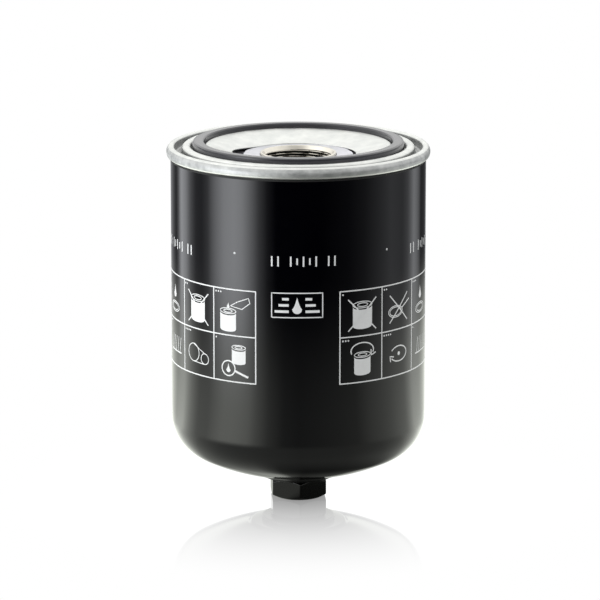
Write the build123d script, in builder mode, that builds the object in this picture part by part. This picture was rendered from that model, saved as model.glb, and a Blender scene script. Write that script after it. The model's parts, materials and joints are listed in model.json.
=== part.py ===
"""Spin-on oil filter: a drawn can with a pleated element, a screwed hub, two valves and a drain plug.

The filter stands on its drain plug. The origin is on the axis, at the plug's lower face, and +Z runs up
the axis to the gasket that seals against the engine. Every length is in millimetres.
"""

import os
from math import asin, atan2, cos, degrees, pi, radians, sin, sqrt, tan

from build123d import *

os.makedirs("parts", exist_ok=True)

# ---------------------------------------------------------------- driving dimensions

# the joint with the engine
overall_height = 188.5      # plug's lower face to the gasket's sealing face
thread_major_d = 36.0       # M36 x 1.5 thread of the hub
thread_pitch = 1.5
gasket_outer_r = 54.8
gasket_width = 6.2
gasket_height = 5.5
gasket_stand = 2.5          # how far the gasket stands proud of the cover's ridge

# the can and its cover
can_outer_r = 65.75
can_wall = 0.8
cover_sheet = 0.7
seam_height = 5.7           # from the lower edge of the double seam to its crest
channel_depth = 4.8         # from the crest down to the floor of the channel inside the seam
dome_radius = 122.0         # crown of the closed end
knuckle_radius = 20.2       # corner between the crown and the wall
dome_drop = 1.4             # the crown's imagined lowest point lies this far below the flat pad
pad_margin = 5.8            # flat pad of the closed end outside the drain boss's flange

# the thick plate under the cover
plate_thickness = 3.0
plate_margin = 1.7          # how far the plate reaches out past the gasket
disc_margin = 9.4           # flat ring of the plate's raised middle outside the hub's collar
disc_drop = 5.0             # from the cover's ridge down to the raised middle
inlet_reach = 0.8           # how far each inlet window reaches in under the raised middle
inlet_width = 6.6
inlet_span = 48.0           # angle that one inlet window takes up
inlet_turn = 4.5            # the windows lie this far round from +X and -X

# the threaded hub
collar_wall = 1.6           # outside the thread
collar_stand = 1.2          # collar's crest above the raised middle of the plate
hub_flange_reach = 5.6      # how far the flange under the plate stands out from the collar
hub_length = 25.7           # whole length of the hub

# the anti-drain valve
valve_cover = 5.7           # how far the valve reaches out past the inlet windows
valve_thickness = 1.9
valve_travel = 1.6
valve_spring_wire = 0.7
valve_spring_pressed = 2.6  # the spring's height with the valve fully open
valve_spring_offset = 4.8   # from the hub's flange out to the spring's coil
retainer_margin = 4.0       # the retainer's floor outside the spring's coil

# the element
oil_space = 5.95            # between the element and the can's inner face
pleat_margin = 1.5          # between the pleats' tips and the caps' rims
pleat_root_space = 2.0      # between the pleats' roots and the centre tube
pleat_count = 56
paper_thickness = 0.5
tube_margin = 5.0           # from the hub's skirt out to the centre tube's outer face
tube_wall = 0.8
tube_hole_r = 2.6
tube_hole_rows = 9
tube_holes_round = 12
cap_sheet = 0.6
cap_rim = 5.0
glue_depth = 2.0
seal_height = 8.2           # rubber ring between the element and the hub

# the bypass valve in the element's lower cap
bypass_orifice_r = 11.0
bypass_disc_r = 15.5
bypass_travel = 6.0
bypass_spring_r = 7.0
bypass_spring_wire = 1.3
bypass_spring_pressed = 13.8   # the spring's height with the valve fully open
cage_sheet = 0.8
cage_space = 3.1            # between the bypass disc and its cage

# the spring that carries the element
support_wire = 2.6
support_boss_space = 5.8    # from the drain boss's neck out to the lowest coil
support_upper_r = 34.0
support_turns = 3.5
support_space = 33.5        # from the can's floor to the seat plate's lower face

# the drain plug
plug_thread_r = 10.0        # M20 x 1.5 thread of the plug
hex_shoulder = 4.0          # from the thread out to the flats of the head
hex_height = 9.6
hex_turn = -25.4            # one corner points this far round from +X
washer_thickness = 1.2
boss_flange_reach = 9.0     # from the thread out to the flange's edge
boss_flange_thickness = 2.5
boss_wall = 4.2
boss_neck_height = 10.7
plug_shank_length = 14.0

# clearances
soft_gap = 0.3              # between pressed pieces that lie beside each other
stop_gap = 0.7              # left under the anti-drain valve when it is fully open
thread_gap = 0.05           # radial clearance of the plug in its boss
guide_gap = 0.4             # between the anti-drain valve and the hub that guides it

# ---------------------------------------------------------------- heights that follow from them

ridge_z = overall_height - gasket_stand
groove_z = overall_height - gasket_height
disc_z = ridge_z - disc_drop
plate_low_z = disc_z - plate_thickness - 1.5
hub_top_z = disc_z + collar_stand
hub_bottom_z = hub_top_z - hub_length
flange_low_z = plate_low_z - valve_thickness - valve_travel - stop_gap
valve_spring_space = valve_travel + valve_spring_pressed
retainer_sheet = 0.8
retainer_low_z = plate_low_z - valve_thickness - valve_spring_space - retainer_sheet
seal_top_z = flange_low_z - retainer_sheet
cap_top_z = seal_top_z - seal_height

washer_low_z = hex_height
boss_low_z = washer_low_z + washer_thickness
pad_z = boss_low_z + boss_flange_thickness
floor_z = pad_z + can_wall
seat_low_z = floor_z + support_space
cap_low_z = seat_low_z + 0.8

# ---------------------------------------------------------------- radii that follow from them

thread_minor_r = (thread_major_d - 1.0825 * thread_pitch) / 2
collar_outer_r = thread_major_d / 2 + collar_wall
hub_skirt_r = collar_outer_r + 0.4
hub_flange_r = collar_outer_r + hub_flange_reach
disc_radius = collar_outer_r + disc_margin
inlet_inner_r = disc_radius - inlet_reach
inlet_outer_r = inlet_inner_r + inlet_width
valve_outer_r = inlet_outer_r + valve_cover
valve_spring_r = hub_flange_r + valve_spring_offset
gasket_inner_r = gasket_outer_r - gasket_width
plate_outer_r = gasket_outer_r + plate_margin
rim_outer_r = can_outer_r + 2.25

element_outer_r = can_outer_r - can_wall - oil_space
pleat_outer_r = element_outer_r - pleat_margin
tube_outer_r = hub_skirt_r + tube_margin
pleat_inner_r = tube_outer_r + pleat_root_space
cage_outer_r = bypass_disc_r + cage_space + cage_sheet

hex_across_flats = 2 * (plug_thread_r + hex_shoulder)
washer_outer_r = hex_across_flats / 2 - 0.4
boss_flange_r = plug_thread_r + boss_flange_reach
boss_neck_r = plug_thread_r + boss_wall
pad_radius = boss_flange_r + pad_margin
support_lower_r = boss_neck_r + support_boss_space


def ring(radius_in, radius_out, low, high):
    """Rectangle in the section that turns into a ring between two radii and two heights."""
    with Locations(((radius_in + radius_out) / 2, (low + high) / 2)):
        Rectangle(radius_out - radius_in, high - low)


# ---------------------------------------------------------------- can

# middle of the sheet, from the hole for the drain boss out over the crown, up the wall, over the seam
mid_dome = dome_radius - can_wall / 2
mid_knuckle = knuckle_radius - can_wall / 2
mid_wall_r = can_outer_r - can_wall / 2
dome_centre_z = pad_z - dome_drop + dome_radius
knuckle_centre_r = mid_wall_r - mid_knuckle
knuckle_angle = asin(knuckle_centre_r / (mid_dome - mid_knuckle))
knuckle_centre_z = dome_centre_z - (mid_dome - mid_knuckle) * cos(knuckle_angle)


def on_dome(angle):
    """Point of the crown's middle surface, at this angle from the axis."""
    return (mid_dome * sin(angle), dome_centre_z - mid_dome * cos(angle))


def on_knuckle(angle):
    """Point of the corner's middle surface, at this angle from the axis."""
    return (
        knuckle_centre_r + mid_knuckle * sin(angle),
        knuckle_centre_z - mid_knuckle * cos(angle),
    )


pad_edge_angle = asin((pad_radius + 1.2) / mid_dome)
knuckle_half = (knuckle_angle + pi / 2) / 2
hook_r = mid_wall_r + 1.25
hook_z = ridge_z - cover_sheet - soft_gap - can_wall / 2 - (hook_r - mid_wall_r) / 2

with BuildPart() as can_shell:
    with BuildSketch(Plane.XZ):
        with BuildLine():
            pad_mid_z = pad_z + can_wall / 2
            Polyline(
                (boss_neck_r + 0.8, pad_mid_z),
                (pad_radius, pad_mid_z),
                on_dome(pad_edge_angle),
            )
            ThreePointArc(
                on_dome(pad_edge_angle),
                on_dome((pad_edge_angle + knuckle_angle) / 2),
                on_dome(knuckle_angle),
            )
            ThreePointArc(on_knuckle(knuckle_angle), on_knuckle(knuckle_half), on_knuckle(pi / 2))
            Line(on_knuckle(pi / 2), (mid_wall_r, hook_z))
            ThreePointArc(
                (mid_wall_r, hook_z),
                ((mid_wall_r + hook_r) / 2, hook_z + (hook_r - mid_wall_r) / 2),
                (hook_r, hook_z),
            )
            Line((hook_r, hook_z), (hook_r, hook_z - 1.8))
            offset(amount=can_wall / 2)
        make_face()
    revolve(axis=Axis.Z)

# ---------------------------------------------------------------- cover rolled onto the can

half_sheet = cover_sheet / 2
rim_low_z = ridge_z - seam_height
rim_mid_r = rim_outer_r - half_sheet
chuck_r = can_outer_r - can_wall - soft_gap - half_sheet
groove_out_r = gasket_outer_r + soft_gap + half_sheet
groove_in_r = gasket_inner_r - soft_gap - half_sheet
crest_mid_z = ridge_z - half_sheet
channel_mid_z = ridge_z - channel_depth - half_sheet
groove_mid_z = groove_z - half_sheet
cone_edge_r = disc_radius + 1.0
cone_edge_z = disc_z + 0.5 - half_sheet

with BuildPart() as seaming_lid:
    with BuildSketch(Plane.XZ):
        with BuildLine():
            FilletPolyline(
                (can_outer_r + soft_gap + half_sheet, rim_low_z + half_sheet),
                (rim_mid_r, rim_low_z + half_sheet),
                (rim_mid_r, crest_mid_z),
                (chuck_r, crest_mid_z),
                (chuck_r - 0.4, channel_mid_z),
                (groove_out_r + 4.5, channel_mid_z),
                (groove_out_r + 3.95, crest_mid_z),
                (groove_out_r, crest_mid_z),
                (groove_out_r, groove_mid_z),
                (groove_in_r, groove_mid_z),
                (groove_in_r, crest_mid_z - 0.2),
                (cone_edge_r, cone_edge_z),
                radius=[1.1, 1.2, 1.2, 1.5, 1.5, 1.6, 1.6, 0.5, 0.5, 0.8],
            )
            offset(amount=half_sheet)
        make_face()
    revolve(axis=Axis.Z)
    # lobes that let the oil in beside the raised middle of the plate
    with BuildSketch(Plane.XY.offset(disc_z - 2)):
        for side in (inlet_turn, inlet_turn + 180):
            SlotArc(
                CenterArc((0, 0), (disc_radius + inlet_outer_r) / 2, side - inlet_span / 2 + 6, inlet_span - 12),
                inlet_outer_r - disc_radius,
            )
    extrude(amount=6, mode=Mode.SUBTRACT)
seaming_lid.part.label = "seaming_lid"

can_shell.part.label = "can_shell"

# ---------------------------------------------------------------- thick plate

plate_top_z = groove_z - cover_sheet
window_z = disc_z - 1.4

with BuildPart() as base_plate:
    with BuildSketch(Plane.XZ):
        with BuildLine():
            Polyline(
                (collar_outer_r + soft_gap, plate_low_z),
                (valve_outer_r + 1.5, plate_low_z),
                (groove_in_r + 0.5, plate_top_z - plate_thickness),
                (plate_outer_r, plate_top_z - plate_thickness),
                (plate_outer_r, plate_top_z),
                (groove_in_r - 1.3, plate_top_z),
                (inlet_outer_r + 0.7, window_z),
                (disc_radius + 0.9, window_z),
                (disc_radius, disc_z),
                (collar_outer_r + soft_gap, disc_z),
                close=True,
            )
        make_face()
    revolve(axis=Axis.Z)
    disc_rim = base_plate.edges().filter_by(GeomType.CIRCLE).filter_by(
        lambda e: abs(e.radius - disc_radius) < 0.01 and abs(e.center().Z - disc_z) < 0.01
    )
    fillet(disc_rim, 0.6)
    with BuildSketch(Plane.XY.offset(plate_low_z - 1)):
        for side in (inlet_turn, inlet_turn + 180):
            SlotArc(
                CenterArc((0, 0), (inlet_inner_r + inlet_outer_r) / 2, side - inlet_span / 2 + 6, inlet_span - 12),
                inlet_outer_r - inlet_inner_r,
            )
    extrude(amount=plate_thickness + 6, mode=Mode.SUBTRACT)
base_plate.part.label = "base_plate"

# ---------------------------------------------------------------- threaded hub

with BuildPart() as threaded_hub:
    with BuildSketch(Plane.XZ):
        with BuildLine():
            crest_r = (thread_minor_r + 0.5 + collar_outer_r) / 2
            Line((thread_minor_r, hub_bottom_z + 1.0), (thread_minor_r, hub_top_z - 2.0))
            Line((thread_minor_r, hub_top_z - 2.0), (thread_minor_r + 0.5, hub_top_z - 0.9))
            ThreePointArc(
                (thread_minor_r + 0.5, hub_top_z - 0.9),
                (crest_r, hub_top_z),
                (collar_outer_r, hub_top_z - 0.9),
            )
            Polyline(
                (collar_outer_r, hub_top_z - 0.9),
                (collar_outer_r, plate_low_z),
                (hub_flange_r, plate_low_z),
                (hub_flange_r, flange_low_z),
                (hub_skirt_r, flange_low_z),
                (hub_skirt_r, hub_bottom_z),
                (thread_minor_r + 1.0, hub_bottom_z),
                (thread_minor_r, hub_bottom_z + 1.0),
            )
        make_face()
    revolve(axis=Axis.Z)
threaded_hub.part.label = "threaded_hub"

# ---------------------------------------------------------------- gasket

with BuildPart() as base_gasket:
    with BuildSketch(Plane.XZ):
        ring(gasket_inner_r, gasket_outer_r, groove_z, overall_height)
    revolve(axis=Axis.Z)
    fillet(base_gasket.edges().filter_by(GeomType.CIRCLE).group_by(Axis.Z)[-1], 0.35)
base_gasket.part.label = "base_gasket"

# ---------------------------------------------------------------- anti-drain valve

valve_inner_r = hub_flange_r + guide_gap

with BuildPart() as anti_drain_valve:
    with BuildSketch(Plane.XZ):
        ring(valve_inner_r, valve_outer_r, plate_low_z - valve_thickness, plate_low_z - 0.6)
        ring(valve_inner_r + 0.6, valve_inner_r + 1.8, plate_low_z - 0.7, plate_low_z)
        ring(valve_outer_r - 2.6, valve_outer_r - 1.0, plate_low_z - 0.7, plate_low_z)
    revolve(axis=Axis.Z)
anti_drain_valve.part.label = "anti_drain_valve"

spring_low_z = retainer_low_z + retainer_sheet
valve_spring_rise = valve_spring_space - valve_spring_wire

with BuildPart() as anti_drain_spring:
    with BuildLine(Plane.XY.offset(spring_low_z + valve_spring_wire / 2)):
        valve_coil = Helix(pitch=valve_spring_rise / 2, height=valve_spring_rise, radius=valve_spring_r)
    with BuildSketch(Plane(origin=valve_coil @ 0, z_dir=valve_coil % 0)):
        Circle(valve_spring_wire / 2)
    sweep(is_frenet=True)
anti_drain_spring.part.label = "anti_drain_spring"

with BuildPart() as valve_retainer:
    with BuildSketch(Plane.XZ):
        with BuildLine():
            FilletPolyline(
                (hub_skirt_r + 0.75, flange_low_z - retainer_sheet / 2),
                (hub_flange_r + 0.6, flange_low_z - retainer_sheet / 2),
                (hub_flange_r + 1.4, retainer_low_z + retainer_sheet / 2),
                (valve_spring_r + retainer_margin, retainer_low_z + retainer_sheet / 2),
                radius=0.6,
            )
            offset(amount=retainer_sheet / 2)
        make_face()
    revolve(axis=Axis.Z)
valve_retainer.part.label = "valve_retainer"

# ---------------------------------------------------------------- element

cap_neck_r = hub_skirt_r + 4.9
tube_inner_r = tube_outer_r - tube_wall

with BuildPart() as element_seal:
    with BuildSketch(Plane.XZ):
        ring(hub_skirt_r + 0.35, cap_neck_r - soft_gap, cap_top_z, seal_top_z)
    revolve(axis=Axis.Z)
    chamfer(element_seal.edges().filter_by(GeomType.CIRCLE).group_by(Axis.Z)[-1].sort_by(SortBy.RADIUS)[0], 0.8)
element_seal.part.label = "element_seal"

with BuildPart() as element_top_cap:
    with BuildSketch(Plane.XZ):
        ring(hub_skirt_r + 0.9, element_outer_r, cap_top_z - cap_sheet, cap_top_z)
        ring(element_outer_r - cap_sheet, element_outer_r, cap_top_z - cap_rim, cap_top_z)
        ring(cap_neck_r, cap_neck_r + cap_sheet, cap_top_z - cap_sheet, cap_top_z + 5.0)
    revolve(axis=Axis.Z)
    fillet(element_top_cap.edges().filter_by(GeomType.CIRCLE).group_by(Axis.Z)[-2].sort_by(SortBy.RADIUS)[-1], 0.5)
element_top_cap.part.label = "element_top_cap"

upper_glue_z = cap_top_z - cap_sheet
lower_glue_z = cap_low_z + cap_sheet

with BuildPart() as top_adhesive:
    with BuildSketch(Plane.XZ):
        ring(tube_outer_r + soft_gap, element_outer_r - cap_sheet - soft_gap, upper_glue_z - glue_depth, upper_glue_z)
    revolve(axis=Axis.Z)
top_adhesive.part.label = "top_adhesive"

with BuildPart() as bottom_adhesive:
    with BuildSketch(Plane.XZ):
        ring(tube_outer_r + soft_gap, element_outer_r - cap_sheet - soft_gap, lower_glue_z, lower_glue_z + glue_depth)
    revolve(axis=Axis.Z)
bottom_adhesive.part.label = "bottom_adhesive"


def pleat_outline(tip_r, tip_half, root_r, root_half):
    """Closed zigzag round the axis: a flat tip and a flat root for every pleat."""
    corners = []
    for pleat in range(pleat_count):
        middle = 360 / pleat_count * pleat
        tip_turn = degrees(tip_half / tip_r)
        root_turn = degrees(root_half / root_r)
        for radius, turn in (
            (tip_r, middle - tip_turn),
            (tip_r, middle + tip_turn),
            (root_r, middle + 180 / pleat_count - root_turn),
            (root_r, middle + 180 / pleat_count + root_turn),
        ):
            corners.append((radius * cos(radians(turn)), radius * sin(radians(turn))))
    return corners


media_low_z = lower_glue_z + glue_depth
media_height = upper_glue_z - glue_depth - media_low_z

with BuildPart() as pleated_media:
    with BuildSketch(Plane.XY.offset(media_low_z)):
        with BuildLine():
            Polyline(*pleat_outline(pleat_outer_r, 0.95, pleat_inner_r + paper_thickness, 0.35), close=True)
        make_face()
        with BuildLine():
            Polyline(*pleat_outline(pleat_outer_r - paper_thickness, 0.45, pleat_inner_r, 0.85), close=True)
        make_face(mode=Mode.SUBTRACT)
    extrude(amount=media_height)
pleated_media.part.label = "pleated_media"

band_height = 4.0
with BuildPart() as pleat_bands:
    with BuildSketch(Plane.XZ):
        for share in (1 / 4, 2 / 4, 3 / 4):
            band_z = media_low_z + media_height * share
            ring(pleat_outer_r + 0.2, pleat_outer_r + 0.8, band_z - band_height / 2, band_z + band_height / 2)
    revolve(axis=Axis.Z)
pleat_bands.part.label = "pleat_bands"

tube_low_z = lower_glue_z
tube_height = upper_glue_z - tube_low_z
hole_rise = (tube_height - 16) / (tube_hole_rows - 1)

with BuildPart() as centre_tube:
    with BuildSketch(Plane.XY.offset(tube_low_z)):
        Circle(tube_outer_r)
        Circle(tube_inner_r, mode=Mode.SUBTRACT)
    extrude(amount=tube_height)
    for row in range(tube_hole_rows):
        row_z = tube_low_z + 8 + hole_rise * row
        row_turn = 180 / tube_holes_round * (row % 2)
        for hole in range(tube_holes_round // 2):
            with Locations(Location((0, 0, row_z), (0, 90, row_turn + 360 / tube_holes_round * hole))):
                Cylinder(tube_hole_r, 2 * tube_outer_r + 2, mode=Mode.SUBTRACT)
centre_tube.part.label = "centre_tube"

cap_hole_r = bypass_orifice_r + 5
with BuildPart() as element_bottom_cap:
    with BuildSketch(Plane.XZ):
        ring(cap_hole_r, element_outer_r, cap_low_z, cap_low_z + cap_sheet)
        ring(element_outer_r - cap_sheet, element_outer_r, cap_low_z, cap_low_z + cap_rim)
    revolve(axis=Axis.Z)
    fillet(element_bottom_cap.edges().filter_by(GeomType.CIRCLE).group_by(Axis.Z)[0].sort_by(SortBy.RADIUS)[-1], 0.5)
element_bottom_cap.part.label = "element_bottom_cap"

# ---------------------------------------------------------------- bypass valve

bypass_low_z = lower_glue_z
bypass_plate = 1.2
lip_z = bypass_low_z + bypass_plate + 1.0
bypass_seal_thickness = 1.0
disc_low_z = lip_z + bypass_seal_thickness
disc_thickness = 1.0
bypass_spring_low_z = disc_low_z + disc_thickness
cage_low_z = bypass_low_z + bypass_plate
bypass_spring_space = bypass_travel + bypass_spring_pressed
cage_roof_z = bypass_spring_low_z + bypass_spring_space

with BuildPart() as bypass_seat:
    with BuildSketch(Plane.XZ):
        ring(bypass_orifice_r, tube_inner_r - 0.6, bypass_low_z, bypass_low_z + bypass_plate)
        ring(bypass_orifice_r, bypass_orifice_r + 1.6, bypass_low_z, lip_z)
    revolve(axis=Axis.Z)
bypass_seat.part.label = "bypass_seat"

with BuildPart() as bypass_seal:
    with BuildSketch(Plane.XZ):
        ring(8.0, bypass_disc_r - 0.3, lip_z, disc_low_z)
    revolve(axis=Axis.Z)
bypass_seal.part.label = "bypass_seal"

with BuildPart() as bypass_disc:
    with BuildSketch(Plane.XZ):
        with BuildLine():
            Polyline(
                (0, lip_z + 0.2),
                (7.7, lip_z + 0.2),
                (7.7, disc_low_z),
                (bypass_disc_r, disc_low_z),
                (bypass_disc_r, disc_low_z + disc_thickness),
                (bypass_spring_r - 2.0, disc_low_z + disc_thickness),
                (bypass_spring_r - 2.6, disc_low_z + disc_thickness + 4.5),
                (0, disc_low_z + disc_thickness + 4.5),
                close=True,
            )
        make_face()
    revolve(axis=Axis.Z)
bypass_disc.part.label = "bypass_disc"

bypass_rise = bypass_spring_space - bypass_spring_wire
with BuildPart() as bypass_spring:
    with BuildLine(Plane.XY.offset(bypass_spring_low_z + bypass_spring_wire / 2)):
        bypass_coil = Helix(pitch=bypass_rise / 5.5, height=bypass_rise, radius=bypass_spring_r)
    with BuildSketch(Plane(origin=bypass_coil @ 0, z_dir=bypass_coil % 0)):
        Circle(bypass_spring_wire / 2)
    sweep(is_frenet=True)
bypass_spring.part.label = "bypass_spring"

with BuildPart() as bypass_cage:
    with BuildSketch(Plane.XZ):
        ring(cage_outer_r - cage_sheet, tube_inner_r - 0.8, cage_low_z, cage_low_z + cage_sheet)
        ring(cage_outer_r - cage_sheet, cage_outer_r, cage_low_z, cage_roof_z + cage_sheet)
        ring(3.0, cage_outer_r, cage_roof_z, cage_roof_z + cage_sheet)
    revolve(axis=Axis.Z)
    window_height = cage_roof_z - cage_low_z - 7
    with Locations((0, 0, cage_low_z + 3.0 + window_height / 2)):
        with PolarLocations(cage_outer_r, 4, start_angle=45):
            Box(12, 18, window_height, mode=Mode.SUBTRACT)
bypass_cage.part.label = "bypass_cage"

# ---------------------------------------------------------------- spring under the element

with BuildPart() as spring_seat:
    with BuildSketch(Plane.XZ):
        ring(support_upper_r - 6, support_upper_r + 5, seat_low_z, cap_low_z)
        ring(support_upper_r + 4.2, support_upper_r + 5, seat_low_z - 3, cap_low_z)
        ring(support_upper_r - 6, support_upper_r - 5.2, seat_low_z - 2, cap_low_z)
    revolve(axis=Axis.Z)
spring_seat.part.label = "spring_seat"

support_rise = support_space - support_wire
with BuildPart() as support_spring:
    with BuildLine(Plane.XY.offset(floor_z + support_wire / 2)):
        support_coil = Helix(
            pitch=support_rise / support_turns,
            height=support_rise,
            radius=support_lower_r,
            cone_angle=degrees(atan2(support_upper_r - support_lower_r, support_rise)),
        )
    with BuildSketch(Plane(origin=support_coil @ 0, z_dir=support_coil % 0)):
        Circle(support_wire / 2)
    sweep(is_frenet=True)
support_spring.part.label = "support_spring"

# ---------------------------------------------------------------- drain boss and plug

with BuildPart() as drain_boss:
    with BuildSketch(Plane.XZ):
        ring(plug_thread_r, boss_flange_r, boss_low_z, pad_z)
        ring(plug_thread_r, boss_neck_r, boss_low_z, pad_z + boss_neck_height)
    revolve(axis=Axis.Z)
    flange_rim = drain_boss.edges().filter_by(GeomType.CIRCLE).group_by(Axis.Z)[0].sort_by(SortBy.RADIUS)[-1]
    fillet(flange_rim, 0.6)
    chamfer(drain_boss.edges().filter_by(GeomType.CIRCLE).group_by(Axis.Z)[-1].sort_by(SortBy.RADIUS)[-1], 0.8)
drain_boss.part.label = "drain_boss"

with BuildPart() as drain_seal:
    with BuildSketch(Plane.XZ):
        ring(plug_thread_r + 0.4, washer_outer_r, washer_low_z, boss_low_z)
    revolve(axis=Axis.Z)
drain_seal.part.label = "drain_seal"

corner_r = hex_across_flats / 2 / cos(radians(30))
corner_drop = (corner_r - hex_across_flats / 2) * tan(radians(30))

with BuildPart() as drain_plug:
    with BuildSketch():
        RegularPolygon(hex_across_flats / 2, 6, major_radius=False, rotation=hex_turn)
    extrude(amount=hex_height)
    fillet(drain_plug.edges().filter_by(Axis.Z), 0.8)
    # the corners are turned down at both ends, as on a bolt head
    with BuildSketch(Plane.XZ):
        with BuildLine():
            Polyline(
                (0, 0),
                (hex_across_flats / 2 - 0.7, 0),
                (corner_r + 0.1, corner_drop + 0.5),
                (corner_r + 0.1, hex_height - corner_drop),
                (hex_across_flats / 2 - 0.2, hex_height),
                (0, hex_height),
                close=True,
            )
        make_face()
    revolve(axis=Axis.Z, mode=Mode.INTERSECT)
    with BuildSketch(Plane.XY.offset(hex_height)):
        Circle(plug_thread_r - thread_gap)
    extrude(amount=plug_shank_length)
    chamfer(drain_plug.edges().filter_by(GeomType.CIRCLE).group_by(Axis.Z)[-1], 1.0)
drain_plug.part.label = "drain_plug"

# ---------------------------------------------------------------- write every piece

pieces = [
    can_shell,
    seaming_lid,
    base_plate,
    threaded_hub,
    base_gasket,
    anti_drain_valve,
    anti_drain_spring,
    valve_retainer,
    element_seal,
    element_top_cap,
    top_adhesive,
    pleated_media,
    pleat_bands,
    centre_tube,
    element_bottom_cap,
    bottom_adhesive,
    bypass_seat,
    bypass_seal,
    bypass_disc,
    bypass_spring,
    bypass_cage,
    spring_seat,
    support_spring,
    drain_boss,
    drain_seal,
    drain_plug,
]
for piece in pieces:
    export_step(piece.part, "parts/" + piece.part.label + ".step")
    print(piece.part.label, len(piece.part.solids()), "solid, volume", round(piece.part.volume, 1), "mm3")
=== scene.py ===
# %% [markdown]
# # A spin-on oil filter
# A drawn steel can is closed by a thin cover that is rolled onto its rim. A thick plate under the cover
# carries a screwed hub, and a rubber ring seals against the engine. A hexagonal plug drains the can.
# The measured model comes first: it fixes where every piece lies, and the new surfaces are laid over it.

# %% Load the measured model
import json
import bmesh
import bpy
import numpy as np
from math import cos, pi, radians, sin, tan
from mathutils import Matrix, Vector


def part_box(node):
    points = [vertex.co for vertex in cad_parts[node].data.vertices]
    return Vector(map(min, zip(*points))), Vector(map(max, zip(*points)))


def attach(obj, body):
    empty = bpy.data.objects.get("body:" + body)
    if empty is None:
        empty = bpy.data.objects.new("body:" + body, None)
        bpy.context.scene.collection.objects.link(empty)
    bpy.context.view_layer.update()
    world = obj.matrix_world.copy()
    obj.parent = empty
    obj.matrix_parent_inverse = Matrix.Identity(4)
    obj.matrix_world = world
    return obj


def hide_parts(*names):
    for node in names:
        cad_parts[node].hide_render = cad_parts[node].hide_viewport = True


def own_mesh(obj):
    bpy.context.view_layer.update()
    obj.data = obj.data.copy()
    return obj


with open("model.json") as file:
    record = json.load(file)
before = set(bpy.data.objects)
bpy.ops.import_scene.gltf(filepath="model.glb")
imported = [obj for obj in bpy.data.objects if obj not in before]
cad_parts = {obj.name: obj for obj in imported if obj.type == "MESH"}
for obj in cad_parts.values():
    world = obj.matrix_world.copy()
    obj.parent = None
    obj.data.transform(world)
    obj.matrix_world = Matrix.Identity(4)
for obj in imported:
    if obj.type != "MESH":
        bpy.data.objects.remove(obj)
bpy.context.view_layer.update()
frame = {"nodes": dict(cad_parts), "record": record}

MM = 0.001
nodes = frame["nodes"]
print("pieces in the model:", len(nodes))

# %% [markdown]
# ## Tools for turned and pressed shapes
# Almost everything here is sheet metal that was spun, rolled or pressed round one axis. Such a piece is a
# section, drawn as a line in radius and height, carried once round the axis. One helper rounds the corners
# of a line, one gives it the thickness of the sheet, and one carries it round.

# %% Rounding the corners of a section
def bend(corners, radii):
    """Line through the corners, each inner corner replaced by an arc of its radius.

    The arc touches both straight runs, so it starts radius times tan(half the turn) before the corner. Its
    centre lies one radius to the inner side, and its points turn evenly about that centre."""
    corners = np.array(corners, float)
    line = [corners[0]]
    for before, corner, after, radius in zip(corners, corners[1:], corners[2:], radii):
        way_in = (corner - before) / np.linalg.norm(corner - before)
        way_out = (after - corner) / np.linalg.norm(after - corner)
        turn_by = np.arctan2(way_in[0] * way_out[1] - way_in[1] * way_out[0], way_in @ way_out)
        start = corner - way_in * radius * tan(abs(turn_by) / 2)
        side = np.array((-way_in[1], way_in[0])) * np.sign(turn_by)
        centre = start + side * radius
        angle = np.linspace(0, turn_by, max(4, int(abs(np.degrees(turn_by)) / 9)))
        spoke = start - centre
        line.extend(
            np.stack(
                (
                    centre[0] + spoke[0] * np.cos(angle) - spoke[1] * np.sin(angle),
                    centre[1] + spoke[0] * np.sin(angle) + spoke[1] * np.cos(angle),
                ),
                axis=1,
            )
        )
    line.append(corners[-1])
    return np.array(line)


def fill_in(line, longest):
    """The same line with more points, so that no run is longer than this. Its parameter is the length."""
    run = np.linalg.norm(np.diff(line, axis=0), axis=1)
    along = np.concatenate(([0], np.cumsum(run)))
    pieces = []
    for start, end in zip(along, along[1:]):
        if end > start:
            pieces.append(np.linspace(start, end, int(np.ceil((end - start) / longest)) + 1)[:-1])
    wanted = np.append(np.concatenate(pieces), along[-1])
    return np.stack((np.interp(wanted, along, line[:, 0]), np.interp(wanted, along, line[:, 1])), axis=1)


print("a corner with a 2 mm arc:", len(bend([(0, 0), (10, 0), (10, 10)], (2.0,))), "points")


# %% Giving a section the thickness of its sheet
def sheet(line, thickness):
    """Closed loop round a sheet: half the thickness to either side of its middle line, with round ends."""
    way = np.gradient(line, axis=0)
    way /= np.linalg.norm(way, axis=1)[:, None]
    side = np.stack((-way[:, 1], way[:, 0]), axis=1) * thickness / 2
    swing = np.linspace(0, pi, 7)[1:-1, None]
    far_end = line[-1] + side[-1] * np.cos(swing) + way[-1] * np.sin(swing) * thickness / 2
    near_end = line[0] - side[0] * np.cos(swing) - way[0] * np.sin(swing) * thickness / 2
    return np.concatenate((line + side, far_end, (line - side)[::-1], near_end))


print("a sheet from three points:", len(sheet(np.array([(0.0, 0.0), (1.0, 0.0), (2.0, 0.0)]), 0.7)), "points")


# %% Carrying a section round the axis
def carry_round(loop, angles):
    """Grid of points: the section's radius r and height z, at every angle a, as (r cos a, r sin a, z)."""
    radius, height = loop[:, 0][:, None], loop[:, 1][:, None]
    flat = np.ones_like(angles)[None, :]
    return np.stack((radius * np.cos(angles), radius * np.sin(angles), height * flat), axis=-1)


def around(count):
    """Evenly spaced angles of one full turn."""
    return np.linspace(0, 2 * pi, count, endpoint=False)


print("a section of 5 points carried to 8 angles:", carry_round(np.ones((5, 2)), around(8)).shape)

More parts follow.
